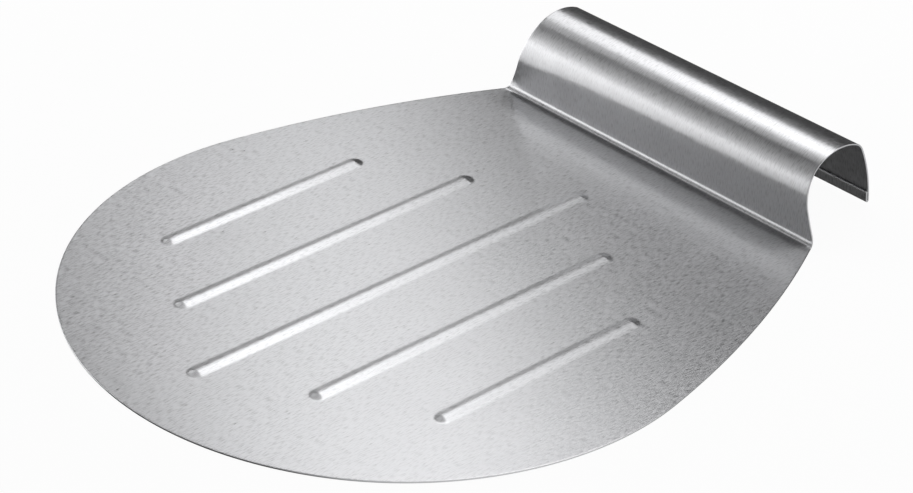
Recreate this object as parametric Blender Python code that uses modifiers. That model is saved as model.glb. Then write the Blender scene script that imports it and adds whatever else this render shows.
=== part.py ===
"""Pizza peel pressed from one sheet of stainless steel.

A flat tear-drop blade carries five parallel raised ribs. At its wide end the same
sheet turns up in a tight crease, rolls over into a hollow grip, comes down again
behind it and ends in a safety hem folded inwards. Nothing is welded or riveted on.

Axes: +X along the grip, +Y from the blade's tip to the grip, +Z up. The origin is
at the centre of the bounding box's bottom face.
"""

from math import acos, atan2, ceil, cos, pi, radians, sin

import bmesh
import bpy
from mathutils import Matrix, Vector

MM = 0.001

# Sheet
SHEET = 0.8 * MM

# Blade outline, half of it, from the tip round to the root line of the grip
TIP_TO_ROOT = 308.0 * MM
TIP_R, TIP_TURN = 155.0 * MM, radians(34.4)
SHOULDER_R, SHOULDER_TURN = 143.5 * MM, radians(66.2)
FLANK_R = 510.0 * MM
OUTLINE_STEP = 8.0 * MM

# Grip, as the path of its visible face. Headings are measured from +Y towards +Z
CREASE_R, CREASE_END = 3.0 * MM, radians(76.0)
SWEEP_R = 11.5 * MM
WALL_HEADING, WALL_RUN = radians(90.5), 10.7 * MM
FRONT_R, FRONT_END = 22.5 * MM, radians(17.0)
CROWN_R, CROWN_END = 28.0 * MM, radians(-24.0)
REAR_R, REAR_END = 10.2 * MM, radians(-63.3)
BACK_RUN, BACK_END = 31.0 * MM, radians(-85.1)
GRIP_HALF = 91.6 * MM

# Longest steps along the grip's path: tight bends, wider bends, round and flat runs
TIGHT_STEP = 0.45 * MM
CORNER_STEP = 1.0 * MM
ROUND_STEP = 2.4 * MM
FLAT_STEP = 5.0 * MM

# Safety hem along the grip's lower back edge
HEM_R = 1.0 * MM
HEM_RETURN = 5.0 * MM

# Raised ribs: (offsets in pitches, far end, near end), ends measured from the root line
RIB_PITCH = 46.0 * MM
RIB_WIDTH = 8.6 * MM
RIB_HEIGHT = 1.1 * MM
RIB_ROWS = (
    ((0,), -275.0 * MM, -43.0 * MM),
    ((-1, 1), -247.0 * MM, -73.0 * MM),
    ((-2, 2), -219.0 * MM, -102.0 * MM),
)
RIB_AROUND = 20
RIB_RINGS = 24
RIDGE_SUNK = 0.4 * SHEET  # how far a ridge reaches into the sheet before it is joined

STEEL_COLOUR = (0.62, 0.62, 0.63, 1.0)
STEEL_ROUGHNESS = 0.32
SHARP_FROM = radians(40)


def clear_scene():
    for obj in list(bpy.data.objects):
        bpy.data.objects.remove(obj, do_unlink=True)
    for group in list(bpy.data.collections):
        bpy.data.collections.remove(group)


def new_collection(name):
    group = bpy.data.collections.new(name)
    bpy.context.scene.collection.children.link(group)
    return group


def steel():
    mat = bpy.data.materials.new("brushed_stainless_steel")
    mat.use_nodes = True
    shader = mat.node_tree.nodes["Principled BSDF"]
    shader.inputs["Base Color"].default_value = STEEL_COLOUR
    shader.inputs["Metallic"].default_value = 1.0
    shader.inputs["Roughness"].default_value = STEEL_ROUGHNESS
    return mat


def arc_run(start, heading, length, turn, most):
    """Points along a run that turns evenly, none further apart than `most`, and its end heading."""
    count = max(1, ceil(abs(length) / most))
    step, part = length / count, turn / count
    chord = step if abs(part) < 1e-9 else step * sin(part / 2) / (part / 2)
    points, here = [], start
    for _ in range(count):
        middle = heading + part / 2
        here = (here[0] + chord * cos(middle), here[1] + chord * sin(middle))
        heading += part
        points.append(here)
    return points, heading


def blade_half():
    """The blade's right edge from the tip to the root line, and its inward slope there."""
    points, heading = [(0.0, -TIP_TO_ROOT)], 0.0
    for radius, turn in ((TIP_R, TIP_TURN), (SHOULDER_R, SHOULDER_TURN)):
        run, heading = arc_run(points[-1], heading, radius * turn, turn, OUTLINE_STEP)
        points += run
    # The flank's centre lies square to its heading; it ends where it meets the root line.
    x, y = points[-1]
    centre = (x - FLANK_R * sin(heading), y + FLANK_R * cos(heading))
    ends = atan2(y - centre[1], x - centre[0]), pi / 2 - acos(-centre[1] / FLANK_R)
    turn = ends[1] - ends[0]
    run, heading = arc_run(points[-1], heading, FLANK_R * turn, turn, 2 * OUTLINE_STEP)
    return points[1:] + run, heading - pi / 2


def grip_path():
    """Stations of the grip's visible face as (y, z, run from the root line), hem included."""
    runs = (
        (CREASE_R * CREASE_END, CREASE_END, TIGHT_STEP),
        (SWEEP_R * (WALL_HEADING - CREASE_END), WALL_HEADING - CREASE_END, CORNER_STEP),
        (WALL_RUN, 0.0, FLAT_STEP),
        (FRONT_R * (WALL_HEADING - FRONT_END), FRONT_END - WALL_HEADING, ROUND_STEP),
        (CROWN_R * (FRONT_END - CROWN_END), CROWN_END - FRONT_END, ROUND_STEP),
        (REAR_R * (CROWN_END - REAR_END), REAR_END - CROWN_END, CORNER_STEP),
        (BACK_RUN, BACK_END - REAR_END, FLAT_STEP),
        (HEM_R * pi, -pi, TIGHT_STEP),
        (HEM_RETURN, 0.0, HEM_RETURN),
    )
    stations, heading, run_so_far = [(0.0, SHEET, 0.0)], 0.0, 0.0
    for length, turn, most in runs:
        points, heading = arc_run(stations[-1][:2], heading, length, turn, most)
        part = length / len(points)
        for index, (y, z) in enumerate(points, 1):
            stations.append((y, z, run_so_far + index * part))
        run_so_far += length
    return stations


def half_width(run, root_half, slope):
    """The sheet's edge carries the flank's slope past the root line and eases to square with the grip."""
    radius = (root_half - GRIP_HALF) / (1 - cos(slope))
    left = max(0.0, slope - run / radius)
    return GRIP_HALF + radius * (1 - cos(left))


def sheet_mesh():
    edge, slope = blade_half()
    path = grip_path()
    root_half = edge[-1][0]
    back = max(y for y, z, run in path)
    shift = (TIP_TO_ROOT - back) / 2
    bm = bmesh.new()
    right = [bm.verts.new((x, y + shift, SHEET)) for x, y in edge]
    left = [bm.verts.new((-x, y + shift, SHEET)) for x, y in edge]
    bm.faces.new(right + left[::-1])
    last = left[-1], right[-1]
    for y, z, run in path[1:]:
        half = half_width(run, root_half, slope)
        pair = bm.verts.new((-half, y + shift, z)), bm.verts.new((half, y + shift, z))
        bm.faces.new((last[0], last[1], pair[1], pair[0]))
        last = pair
    bm.normal_update()
    mesh = bpy.data.meshes.new("peel_sheet")
    bm.to_mesh(mesh)
    bm.free()
    return mesh, shift


def rib_form(name, x, near, far, radius, centre_z, floor_z):
    """A capsule lying along the rib, as the hull of a ball at each end, cut flat at `floor_z`."""
    bm = bmesh.new()
    for y in (near, far):
        place = Matrix.Translation(Vector((x, y, centre_z)))
        bmesh.ops.create_uvsphere(
            bm, u_segments=RIB_AROUND, v_segments=RIB_RINGS * 2, radius=radius, matrix=place
        )
    bmesh.ops.delete(bm, geom=bm.edges[:], context="EDGES_FACES")
    hull = bmesh.ops.convex_hull(bm, input=bm.verts)
    bmesh.ops.delete(bm, geom=hull["geom_interior"], context="VERTS")
    everything = bm.verts[:] + bm.edges[:] + bm.faces[:]
    cut = bmesh.ops.bisect_plane(
        bm, geom=everything, plane_co=(0, 0, floor_z), plane_no=(0, 0, 1), clear_inner=True
    )
    rim = [e for e in cut["geom_cut"] if isinstance(e, bmesh.types.BMEdge)]
    bmesh.ops.contextual_create(bm, geom=rim)
    bmesh.ops.recalc_face_normals(bm, faces=bm.faces)
    mesh = bpy.data.meshes.new(name)
    bm.to_mesh(mesh)
    bm.free()
    return bpy.data.objects.new(name, mesh)


def add_ribs(sheet, shift):
    """Each rib is pressed up: a rounded ridge joined on top, the same shape less the sheet cut from below."""
    tops, hollows = new_collection("rib_ridges"), new_collection("rib_hollows")
    half = RIB_WIDTH / 2
    radius = (half * half + RIB_HEIGHT * RIB_HEIGHT) / (2 * RIB_HEIGHT)
    centre_z = SHEET + RIB_HEIGHT - radius
    for offsets, far, near in RIB_ROWS:
        for offset in offsets:
            x = offset * RIB_PITCH
            ends = near - half + shift, far + half + shift
            tag = "mid" if offset == 0 else ("right" if offset > 0 else "left") + str(abs(offset))
            ridge = rib_form("ridge_" + tag, x, *ends, radius, centre_z, SHEET - RIDGE_SUNK)
            hollow = rib_form("hollow_" + tag, x, *ends, radius - SHEET, centre_z, -SHEET)
            tops.objects.link(ridge)
            hollows.objects.link(hollow)
    for group, operation in ((tops, "UNION"), (hollows, "DIFFERENCE")):
        group.hide_render = True
        for obj in group.objects:
            obj.hide_render = True
            obj.display_type = "WIRE"
        made = sheet.modifiers.new(operation.lower(), "BOOLEAN")
        made.operation = operation
        made.operand_type = "COLLECTION"
        made.collection = group
        made.solver = "EXACT"


def main():
    clear_scene()
    peel = new_collection("pizza_peel")
    mesh, shift = sheet_mesh()
    sheet = bpy.data.objects.new("peel_sheet", mesh)
    peel.objects.link(sheet)
    mesh.materials.append(steel())
    mesh.shade_smooth()
    mesh.set_sharp_from_angle(angle=SHARP_FROM)
    wall = sheet.modifiers.new("sheet thickness", "SOLIDIFY")
    wall.thickness = SHEET
    wall.offset = -1.0
    wall.use_even_offset = True
    add_ribs(sheet, shift)


main()
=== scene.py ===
"""Looks for the pizza peel: one pressed and folded sheet of brushed stainless steel.

The visible sheet is rebuilt here from the same driving sizes as the CAD part, in
finer steps and with the details the CAD leaves out: ribs that rise from the blade
in a soft fillet, broken cut edges and a brushed finish that follows the bends.

Axes as in the CAD: +X along the grip, +Y from the blade's tip to the grip, +Z up.
"""

from math import acos, atan2, ceil, cos, pi, radians, sin

import bmesh
import bpy
from mathutils import Matrix, Vector


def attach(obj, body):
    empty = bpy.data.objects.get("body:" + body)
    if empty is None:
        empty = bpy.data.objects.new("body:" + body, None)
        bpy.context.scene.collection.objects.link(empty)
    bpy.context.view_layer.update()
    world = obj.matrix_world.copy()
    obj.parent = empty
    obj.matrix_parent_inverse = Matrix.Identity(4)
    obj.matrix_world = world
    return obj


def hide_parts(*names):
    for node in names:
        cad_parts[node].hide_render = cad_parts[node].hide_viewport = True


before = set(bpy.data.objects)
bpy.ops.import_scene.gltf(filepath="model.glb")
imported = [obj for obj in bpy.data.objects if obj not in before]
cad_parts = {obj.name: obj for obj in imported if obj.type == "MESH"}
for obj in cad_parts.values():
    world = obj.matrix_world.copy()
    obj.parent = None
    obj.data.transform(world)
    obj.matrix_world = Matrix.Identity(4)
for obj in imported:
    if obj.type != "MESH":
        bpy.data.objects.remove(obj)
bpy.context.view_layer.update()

MM = 0.001

# Sheet, as in the CAD part
SHEET = 0.8 * MM
TIP_TO_ROOT = 308.0 * MM
TIP_R, TIP_TURN = 155.0 * MM, radians(34.4)
SHOULDER_R, SHOULDER_TURN = 143.5 * MM, radians(66.2)
FLANK_R = 510.0 * MM
CREASE_R, CREASE_END = 3.0 * MM, radians(76.0)
SWEEP_R = 11.5 * MM
WALL_HEADING, WALL_RUN = radians(90.5), 10.7 * MM
FRONT_R, FRONT_END = 22.5 * MM, radians(17.0)
CROWN_R, CROWN_END = 28.0 * MM, radians(-24.0)
REAR_R, REAR_END = 10.2 * MM, radians(-63.3)
BACK_RUN, BACK_END = 31.0 * MM, radians(-85.1)
GRIP_HALF = 91.6 * MM
HEM_R, HEM_RETURN = 1.0 * MM, 5.0 * MM

# Ribs, as in the CAD part, with a wider foot for the fillet they rise from
RIB_PITCH = 46.0 * MM
RIB_HALF = 4.3 * MM
RIB_FOOT = 4.9 * MM
RIB_HEIGHT = 1.1 * MM
RIB_ROWS = (
    ((0,), -275.0 * MM, -43.0 * MM),
    ((-1, 1), -247.0 * MM, -73.0 * MM),
    ((-2, 2), -219.0 * MM, -102.0 * MM),
)
RIB_RINGS = 12  # from the foot to the centre line
RIB_END_STEPS = 20  # round each half-round end

# Fineness: longest steps along the outline, round the bends and along the flat runs
OUTLINE_STEP = 2.0 * MM
TURN_STEP = radians(2.5)
FLAT_STEP = 4.0 * MM
STRAIGHT = 1e-9  # a turn this small in one step is none

# Edges: a narrow strip inside every cut edge, and the break along it
EDGE_MARGIN = 0.7 * MM
EDGE_BREAK, EDGE_BREAK_SEGMENTS = 0.2 * MM, 2
EDGE_BREAK_FROM = radians(60)
SHARP_FROM = radians(40)


def arc_run(start, heading, length, turn, count):
    """Points along a run that turns evenly in `count` steps, and its end heading."""
    step, part = length / count, turn / count
    chord = step if abs(part) < STRAIGHT else step * sin(part / 2) / (part / 2)
    points, here = [], start
    for _ in range(count):
        middle = heading + part / 2
        here = (here[0] + chord * cos(middle), here[1] + chord * sin(middle))
        heading += part
        points.append(here)
    return points, heading


def blade_half():
    """The blade's right edge from the tip to the root line, and its inward slope there."""
    points, heading = [(0.0, -TIP_TO_ROOT)], 0.0
    for radius, turn in ((TIP_R, TIP_TURN), (SHOULDER_R, SHOULDER_TURN)):
        count = ceil(radius * turn / OUTLINE_STEP)
        run, heading = arc_run(points[-1], heading, radius * turn, turn, count)
        points += run
    x, y = points[-1]
    centre = (x - FLANK_R * sin(heading), y + FLANK_R * cos(heading))
    ends = atan2(y - centre[1], x - centre[0]), pi / 2 - acos(-centre[1] / FLANK_R)
    turn = ends[1] - ends[0]
    count = ceil(FLANK_R * turn / OUTLINE_STEP)
    run, heading = arc_run(points[-1], heading, FLANK_R * turn, turn, count)
    return points + run, heading - pi / 2


def grip_path():
    """Stations of the grip's visible face as (y, z, run from the root line), hem included."""
    runs = (
        (CREASE_R * CREASE_END, CREASE_END),
        (SWEEP_R * (WALL_HEADING - CREASE_END), WALL_HEADING - CREASE_END),
        (WALL_RUN, 0.0),
        (FRONT_R * (WALL_HEADING - FRONT_END), FRONT_END - WALL_HEADING),
        (CROWN_R * (FRONT_END - CROWN_END), CROWN_END - FRONT_END),
        (REAR_R * (CROWN_END - REAR_END), REAR_END - CROWN_END),
        (BACK_RUN, BACK_END - REAR_END),
        (HEM_R * pi, -pi),
        (HEM_RETURN, 0.0),
    )
    stations, heading, run_so_far = [(0.0, SHEET, 0.0)], 0.0, 0.0
    for length, turn in runs:
        count = max(ceil(abs(turn) / TURN_STEP), ceil(length / FLAT_STEP))
        points, heading = arc_run(stations[-1][:2], heading, length, turn, count)
        for index, (y, z) in enumerate(points, 1):
            stations.append((y, z, run_so_far + length * index / count))
        run_so_far += length
    return stations


def half_width(run, root_half, slope):
    """The sheet's edge carries the flank's slope past the root line and eases to square."""
    radius = (root_half - GRIP_HALF) / (1 - cos(slope))
    left = max(0.0, slope - run / radius)
    return GRIP_HALF + radius * (1 - cos(left))


def rib_profile(distance):
    """Height of a rib above the blade at a distance from its centre line."""
    if distance >= RIB_FOOT:
        return 0.0
    return RIB_HEIGHT * (1 + cos(pi * distance / RIB_FOOT)) / 2


def rib_ring(x, far, near, distance):
    """A ring of points round the rib's centre line, at one distance from it."""
    points = []
    for centre, first in ((near, 0.0), (far, pi)):
        for index in range(RIB_END_STEPS + 1):
            angle = first + pi * index / RIB_END_STEPS
            points.append((x + distance * cos(angle), centre + distance * sin(angle)))
    return points


def add_rib(bm, x, far, near, shift):
    """One rib, pressed up from the blade. Returns the edges of its flat outer ring."""
    ends = far + RIB_HALF + shift, near - RIB_HALF + shift
    distances = [RIB_FOOT + EDGE_MARGIN]
    distances += [RIB_FOOT * (RIB_RINGS - k) / RIB_RINGS for k in range(RIB_RINGS)]
    rings = []
    for distance in distances:
        z = SHEET + rib_profile(distance)
        rings.append([bm.verts.new((u, v, z)) for u, v in rib_ring(x, *ends, distance)])
    for outer, inner in zip(rings, rings[1:]):
        for k in range(len(outer)):
            n = (k + 1) % len(outer)
            bm.faces.new((outer[k], outer[n], inner[n], inner[k]))
    # The last ring closes on the centre line: fans at the ends, one quad along each side.
    crest = [bm.verts.new((x, y, SHEET + RIB_HEIGHT)) for y in (ends[1], ends[0])]
    last, half = rings[-1], RIB_END_STEPS + 1
    for end, start in ((0, 0), (1, half)):
        for k in range(start, start + RIB_END_STEPS):
            bm.faces.new((last[k], last[k + 1], crest[end]))
    bm.faces.new((last[half - 1], last[half], crest[1], crest[0]))
    bm.faces.new((last[-1], last[0], crest[0], crest[1]))
    foot = rings[0]
    return [bm.edges.get((foot[k], foot[(k + 1) % len(foot)])) for k in range(len(foot))]


def add_blade(bm, edge, shift):
    """The flat of the blade with its margin. Returns the four vertices of the root row."""
    count = len(edge)
    inset = []
    for k, (x, y) in enumerate(edge):
        if k == 0:
            inset.append((0.0, y + EDGE_MARGIN))
        elif k >= count - 2:
            inset.append((x - EDGE_MARGIN, y))
        else:
            before, after = edge[k - 1], edge[k + 1]
            along = Vector((after[0] - before[0], after[1] - before[1])).normalized()
            inset.append((x - EDGE_MARGIN * along.y, y + EDGE_MARGIN * along.x))
    sides = []
    tips = [bm.verts.new((0.0, y + shift, SHEET)) for y in (edge[0][1], inset[0][1])]
    for sign in (1, -1):
        rim = [bm.verts.new((sign * x, y + shift, SHEET)) for x, y in edge[1:]]
        inner = [bm.verts.new((sign * x, y + shift, SHEET)) for x, y in inset[1:]]
        rim, inner = [tips[0]] + rim, [tips[1]] + inner
        for k in range(count - 1):
            quad = (rim[k], rim[k + 1], inner[k + 1], inner[k])
            bm.faces.new(quad if sign > 0 else quad[::-1])
        sides.append((rim, inner))
    (rim_r, inner_r), (rim_l, inner_l) = sides
    bm.faces.new((inner_l[-2], inner_r[-2], inner_r[-1], inner_l[-1]))
    border = [bm.edges.get((inner_l[-2], inner_r[-2]))]
    for inner in (inner_r, inner_l):
        border += [bm.edges.get(pair) for pair in zip(inner[:-2], inner[1:-1])]
    for offsets, far, near in RIB_ROWS:
        for offset in offsets:
            border += add_rib(bm, offset * RIB_PITCH, far, near, shift)
    bmesh.ops.triangle_fill(bm, edges=border, use_beauty=True, normal=(0, 0, 1))
    return rim_l[-1], inner_l[-1], inner_r[-1], rim_r[-1]


def sheet_mesh():
    """The visible face of the whole sheet, with the developed sheet as its UV map in metres."""
    edge, slope = blade_half()
    path = grip_path()
    root_half = edge[-1][0]
    shift = (TIP_TO_ROOT - max(y for y, z, run in path)) / 2
    bm = bmesh.new()
    runs = bm.verts.layers.float.new("run")
    last = add_blade(bm, edge, shift)
    for vert in bm.verts:
        vert[runs] = vert.co.y - shift
    for y, z, run in path[1:]:
        half = half_width(run, root_half, slope)
        columns = -half, EDGE_MARGIN - half, half - EDGE_MARGIN, half
        row = [bm.verts.new((x, y + shift, z)) for x in columns]
        for vert in row:
            vert[runs] = run
        for k in range(3):
            bm.faces.new((last[k], last[k + 1], row[k + 1], row[k]))
        last = row
    bmesh.ops.recalc_face_normals(bm, faces=bm.faces)
    if max(bm.faces, key=lambda face: face.calc_area()).normal.z < 0:
        bmesh.ops.reverse_faces(bm, faces=bm.faces)
    flat = bm.loops.layers.uv.new("developed_sheet")
    for face in bm.faces:
        face.smooth = True
        for loop in face.loops:
            loop[flat].uv = (loop.vert.co.x, loop.vert[runs])
    mesh = bpy.data.meshes.new("peel_sheet_face")
    bm.to_mesh(mesh)
    bm.free()
    return mesh


class Nodes:
    """A short way to add nodes to a tree and link them."""

    def __init__(self, tree):
        self.tree = tree

    def add(self, kind, inputs=(), **settings):
        node = self.tree.nodes.new(kind)
        for name, value in settings.items():
            setattr(node, name, value)
        for name, value in dict(inputs).items():
            if isinstance(value, bpy.types.NodeSocket):
                self.tree.links.new(value, node.inputs[name])
            else:
                node.inputs[name].default_value = value
        return node

    def math(self, operation, a, b):
        return self.add("ShaderNodeMath", {0: a, 1: b}, operation=operation).outputs[0]

    def noise(self, vector, scale, detail):
        inputs = {"Vector": vector, "Scale": scale, "Detail": detail}
        node = self.add("ShaderNodeTexNoise", inputs)
        return node.outputs["Fac"]

    def stretched(self, vector, across, along, offset):
        """Sheet coordinates divided by a grain size in metres across and along the brushing."""
        scale = (1 / across, 1 / along, 1.0)
        inputs = {"Vector": vector, "Scale": scale, "Location": (offset, offset, offset)}
        return self.add("ShaderNodeMapping", inputs).outputs["Vector"]


WHITE = (1.0, 1.0, 1.0, 1.0)

# A Mix node's sockets for colours, by number, because their names repeat
MIX_SHARE, MIX_A, MIX_B, MIX_RESULT = 0, 6, 7, 2

BRUSHED_COLOUR = (0.665, 0.668, 0.682, 1.0)
GROOVE_COLOUR = (0.0, 0.0, 0.0, 1.0)
BRUSHED_ROUGHNESS = 0.35
BRUSHED_ANISOTROPY = 0.92

# The brushing's grain: size across and along it, where its noise starts, and the noise's detail
GRAIN = {
    "hair": (0.16 * MM, 26.0 * MM, 0.0, 3.0),
    "streak": (0.55 * MM, 3.6 * MM, 7.0, 1.0),
    "cloud": (9.0 * MM, 30.0 * MM, 3.0, 3.0),
    "wave": (60.0 * MM, 75.0 * MM, 5.0, 1.0),
}
# What the grain does to the roughness, either way, to the tone, at its lowest and highest,
# and to the surface's height
STREAK_ROUGHNESS, CLOUD_ROUGHNESS, HAIR_ROUGHNESS = 0.12, 0.03, 0.03
STREAK_TONE, HAIR_TONE = (0.50, 1.42), (-0.05, 0.05)
RELIEF = (("wave", 0.06 * MM), ("streak", 0.05 * MM), ("hair", 0.002 * MM))


def brushed_steel():
    """Satin stainless steel, brushed from the tip towards the grip and on over its bends."""
    mat = bpy.data.materials.new("brushed_stainless_steel")
    mat.use_nodes = True
    nodes = Nodes(mat.node_tree)
    shader = mat.node_tree.nodes["Principled BSDF"]
    sheet = nodes.add("ShaderNodeUVMap", uv_map="developed_sheet").outputs["UV"]
    grain = {
        name: nodes.noise(nodes.stretched(sheet, across, along, start), 1.0, detail)
        for name, (across, along, start, detail) in GRAIN.items()
    }

    def spread(name, low, high):
        inputs = {"Value": grain[name], "To Min": low, "To Max": high}
        return nodes.add("ShaderNodeMapRange", inputs).outputs["Result"]

    streaks = spread("streak", -STREAK_ROUGHNESS, STREAK_ROUGHNESS)
    clouds = spread("cloud", -CLOUD_ROUGHNESS, CLOUD_ROUGHNESS)
    rough = nodes.math("ADD", streaks, clouds)
    low, high = BRUSHED_ROUGHNESS - HAIR_ROUGHNESS, BRUSHED_ROUGHNESS + HAIR_ROUGHNESS
    rough = nodes.math("ADD", rough, spread("hair", low, high))
    tone = nodes.math("ADD", spread("streak", *STREAK_TONE), spread("hair", *HAIR_TONE))
    # The mix holds its share at zero or more, so a tone over one leaves the steel's own colour.
    groove = nodes.math("SUBTRACT", 1.0, tone)
    inputs = {MIX_A: BRUSHED_COLOUR, MIX_B: GROOVE_COLOUR, MIX_SHARE: groove}
    colour = nodes.add("ShaderNodeMix", inputs, data_type="RGBA").outputs[MIX_RESULT]
    normal = {}
    for name, height in RELIEF:
        inputs = {"Height": grain[name], "Strength": 1.0, "Distance": height}
        bump = nodes.add("ShaderNodeBump", {**inputs, **normal})
        normal = {"Normal": bump.outputs[0]}
    tangent = nodes.add("ShaderNodeTangent", direction_type="UV_MAP", uv_map="developed_sheet")
    links = mat.node_tree.links
    links.new(colour, shader.inputs["Base Color"])
    links.new(rough, shader.inputs["Roughness"])
    links.new(normal["Normal"], shader.inputs["Normal"])
    links.new(tangent.outputs[0], shader.inputs["Tangent"])
    shader.inputs["Metallic"].default_value = 1.0
    shader.inputs["Anisotropic"].default_value = BRUSHED_ANISOTROPY
    return mat


CUT_COLOUR = (0.66, 0.665, 0.675, 1.0)
CUT_ROUGHNESS = 0.24, 0.42
NICKS_PER_METRE, NICKS_DETAIL = 2500.0, 3.0
NICK_DEPTH = 0.01 * MM


def cut_edge_steel():
    """The sheared and deburred edge of the sheet."""
    mat = bpy.data.materials.new("cut_edge_steel")
    mat.use_nodes = True
    nodes = Nodes(mat.node_tree)
    shader = mat.node_tree.nodes["Principled BSDF"]
    place = nodes.add("ShaderNodeTexCoord").outputs["Object"]
    nicks = nodes.noise(place, NICKS_PER_METRE, NICKS_DETAIL)
    inputs = {"Value": nicks, "To Min": CUT_ROUGHNESS[0], "To Max": CUT_ROUGHNESS[1]}
    rough = nodes.add("ShaderNodeMapRange", inputs).outputs["Result"]
    inputs = {"Height": nicks, "Strength": 1.0, "Distance": NICK_DEPTH}
    shape = nodes.add("ShaderNodeBump", inputs).outputs[0]
    mat.node_tree.links.new(rough, shader.inputs["Roughness"])
    mat.node_tree.links.new(shape, shader.inputs["Normal"])
    shader.inputs["Base Color"].default_value = CUT_COLOUR
    shader.inputs["Metallic"].default_value = 1.0
    return mat


def make_peel():
    """The finished sheet as one closed piece."""
    face = sheet_mesh()
    obj = bpy.data.objects.new("peel_sheet_fine", face)
    bpy.context.scene.collection.objects.link(obj)
    face.materials.append(brushed_steel())
    face.materials.append(cut_edge_steel())
    wall = obj.modifiers.new("sheet thickness", "SOLIDIFY")
    wall.thickness = SHEET
    wall.offset = -1.0
    wall.use_even_offset = True
    wall.material_offset_rim = 1
    broken = obj.modifiers.new("broken edges", "BEVEL")
    broken.width = EDGE_BREAK
    broken.segments = EDGE_BREAK_SEGMENTS
    broken.limit_method = "ANGLE"
    broken.angle_limit = EDGE_BREAK_FROM
    broken.use_clamp_overlap = False
    graph = bpy.context.evaluated_depsgraph_get()
    mesh = bpy.data.meshes.new_from_object(obj.evaluated_get(graph))
    obj.modifiers.clear()
    obj.data = mesh
    mesh.name = "peel_sheet_fine"
    mesh.set_sharp_from_angle(angle=SHARP_FROM)
    bpy.data.meshes.remove(face)
    return obj


# Camera: where the photograph was taken from, round a point on the blade
CAMERA_AZIMUTH, CAMERA_ELEVATION, CAMERA_ROLL = radians(47.02), radians(31.29), radians(1.31)
CAMERA_TARGET = Vector((-0.0042, 0.0078, 0.0008))
CAMERA_DISTANCE = 1.2489
CAMERA_LENS = 109.2
SENSOR_WIDTH = 36.0


def make_camera():
    """The photograph's view. The lens and the sensor are in millimetres."""
    back = Vector((
        sin(CAMERA_AZIMUTH) * cos(CAMERA_ELEVATION),
        -cos(CAMERA_AZIMUTH) * cos(CAMERA_ELEVATION),
        sin(CAMERA_ELEVATION),
    ))
    right = Vector((cos(CAMERA_AZIMUTH), sin(CAMERA_AZIMUTH), 0.0))
    level = Matrix((right, back.cross(right), back)).transposed()
    turn = level @ Matrix.Rotation(CAMERA_ROLL, 3, "Z")
    data = bpy.data.cameras.new("camera")
    data.sensor_fit = "HORIZONTAL"
    data.sensor_width = SENSOR_WIDTH
    data.lens = CAMERA_LENS
    camera = bpy.data.objects.new("camera", data)
    camera.matrix_world = Matrix.Translation(CAMERA_TARGET + CAMERA_DISTANCE * back) @ turn.to_4x4()
    bpy.context.scene.collection.objects.link(camera)
    bpy.context.scene.camera = camera


# Lights: name, centre in metres, azimuth and elevation faced and spin in degrees, then
# width and height in metres and radiance
LIGHTS = (
    ("softbox_above", (-0.476, 0.727, 1.974), (-67.6, -49.0), -21.3, 3.177, 0.943, 1.11),
    ("softbox_left", (-1.136, -0.106, 0.287), (45.1, 9.8), 17.7, 1.616, 0.86, 2.0),
    ("softbox_behind", (-0.762, 0.980, 1.272), (59.8, -35.8), -68.4, 1.023, 2.015, 1.45),
    ("softbox_right", (1.3, -0.9, 1.6), (145.0, -45.0), 0.0, 1.4, 1.0, 0.4),
)
WATTS_PER_RADIANCE = 4.0  # for each square metre of an area light

# The room: dim above and below, lighter towards +X, where the cut edge of the grip faces.
# Each change is spread over a range of the direction's height or its +X part.
WORLD_ABOVE, WORLD_BELOW, WORLD_RIGHT = 0.02, 0.05, 0.8
HORIZON = 0.0, 0.7
RIGHT_SIDE = 0.1, 0.7


def make_lights():
    """Soft rectangular lights, each turned to face a direction and then spun about it."""
    for name, centre, (azimuth, elevation), spin, width, height, radiance in LIGHTS:
        data = bpy.data.lights.new(name, "AREA")
        data.shape = "RECTANGLE"
        data.size, data.size_y = width, height
        data.energy = radiance * width * height * WATTS_PER_RADIANCE
        lamp = bpy.data.objects.new(name, data)
        a, e = radians(azimuth), radians(elevation)
        faced = Vector((cos(a) * cos(e), sin(a) * cos(e), sin(e)))
        level = Vector((-sin(a), cos(a), 0.0))
        upright = faced.cross(level)
        s = radians(spin)
        across = cos(s) * level + sin(s) * upright
        turn = Matrix((across, (-faced).cross(across), -faced)).transposed().to_4x4()
        lamp.matrix_world = Matrix.Translation(centre) @ turn
        bpy.context.scene.collection.objects.link(lamp)


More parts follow.
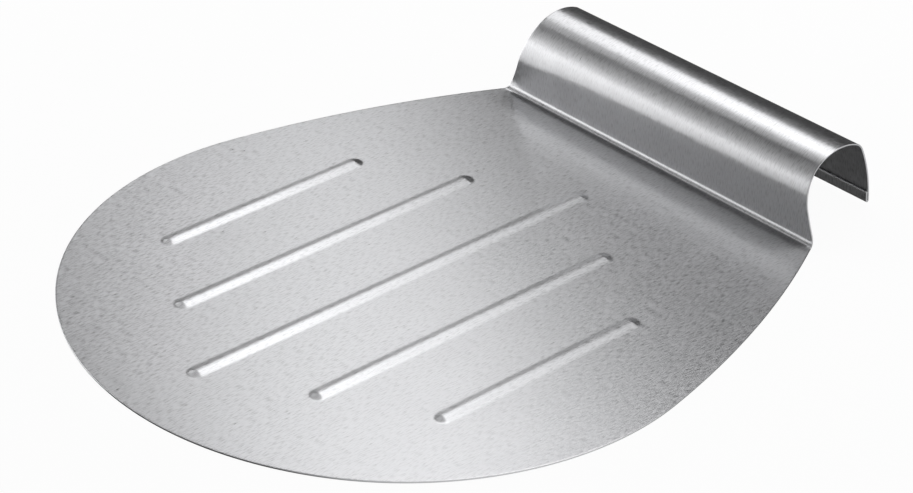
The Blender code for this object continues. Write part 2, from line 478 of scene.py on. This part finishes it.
def make_world():
    """The dim studio that the steel mirrors between the lights."""
    world = bpy.data.worlds.new("studio")
    bpy.context.scene.world = world
    world.use_nodes = True
    nodes = Nodes(world.node_tree)
    background = world.node_tree.nodes["Background"]
    background.inputs["Color"].default_value = WHITE
    ray = nodes.add("ShaderNodeLightPath").outputs["Is Camera Ray"]
    direction = nodes.add("ShaderNodeTexCoord").outputs["Generated"]
    split = nodes.add("ShaderNodeSeparateXYZ", {"Vector": direction})

    def ramp(axis, span, start, end):
        inputs = {"Value": split.outputs[axis], "From Min": span[0], "From Max": span[1]}
        inputs.update({"To Min": start, "To Max": end})
        made = nodes.add("ShaderNodeMapRange", inputs, interpolation_type="SMOOTHSTEP")
        return made.outputs["Result"]

    dim = ramp("Z", HORIZON, WORLD_BELOW, WORLD_ABOVE)
    side = ramp("X", RIGHT_SIDE, 0.0, WORLD_RIGHT)
    # The camera itself sees plain white behind the object.
    seen = nodes.math("MAXIMUM", nodes.math("ADD", dim, side), ray)
    world.node_tree.links.new(seen, background.inputs["Strength"])


FLOOR_COLOUR = (0.9, 0.9, 0.9, 1.0)
FLOOR_ROUGHNESS = 0.9
FLOOR_EVENNESS = 0.95
FLOOR_REACH = 6.0
FLOOR_DROP = 0.2 * MM


def make_floor():
    """A plain pale floor just under the peel."""
    mesh = bpy.data.meshes.new("floor")
    signs = (-1, -1), (1, -1), (1, 1), (-1, 1)
    corners = [(x * FLOOR_REACH, y * FLOOR_REACH, 0) for x, y in signs]
    mesh.from_pydata(corners, [], [(0, 1, 2, 3)])
    floor = bpy.data.objects.new("floor", mesh)
    floor.location.z = -FLOOR_DROP
    bpy.context.scene.collection.objects.link(floor)
    mat = bpy.data.materials.new("pale_floor")
    mat.use_nodes = True
    nodes = Nodes(mat.node_tree)
    shader = mat.node_tree.nodes["Principled BSDF"]
    shader.inputs["Base Color"].default_value = FLOOR_COLOUR
    shader.inputs["Roughness"].default_value = FLOOR_ROUGHNESS
    shader.inputs["Specular IOR Level"].default_value = 0.0
    # The camera sees the floor almost evenly lit, as in a studio cut-out, and the steel doesn't
    # mirror it: the photo's steel mirrors a dark room below the lights.
    glow = nodes.add("ShaderNodeEmission", {"Color": WHITE, "Strength": 1.0})
    ray = nodes.add("ShaderNodeLightPath").outputs["Is Camera Ray"]
    share = nodes.math("MULTIPLY", ray, FLOOR_EVENNESS)
    mixed = nodes.add("ShaderNodeMixShader", {0: share, 1: shader.outputs[0], 2: glow.outputs[0]})
    output = mat.node_tree.nodes["Material Output"]
    mat.node_tree.links.new(mixed.outputs[0], output.inputs["Surface"])
    mesh.materials.append(mat)
    floor.visible_glossy = False


peel = make_peel()
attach(peel, "root")
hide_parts("peel_sheet")
make_camera()
make_lights()
make_world()
make_floor()
bpy.context.scene.view_settings.view_transform = "Standard"
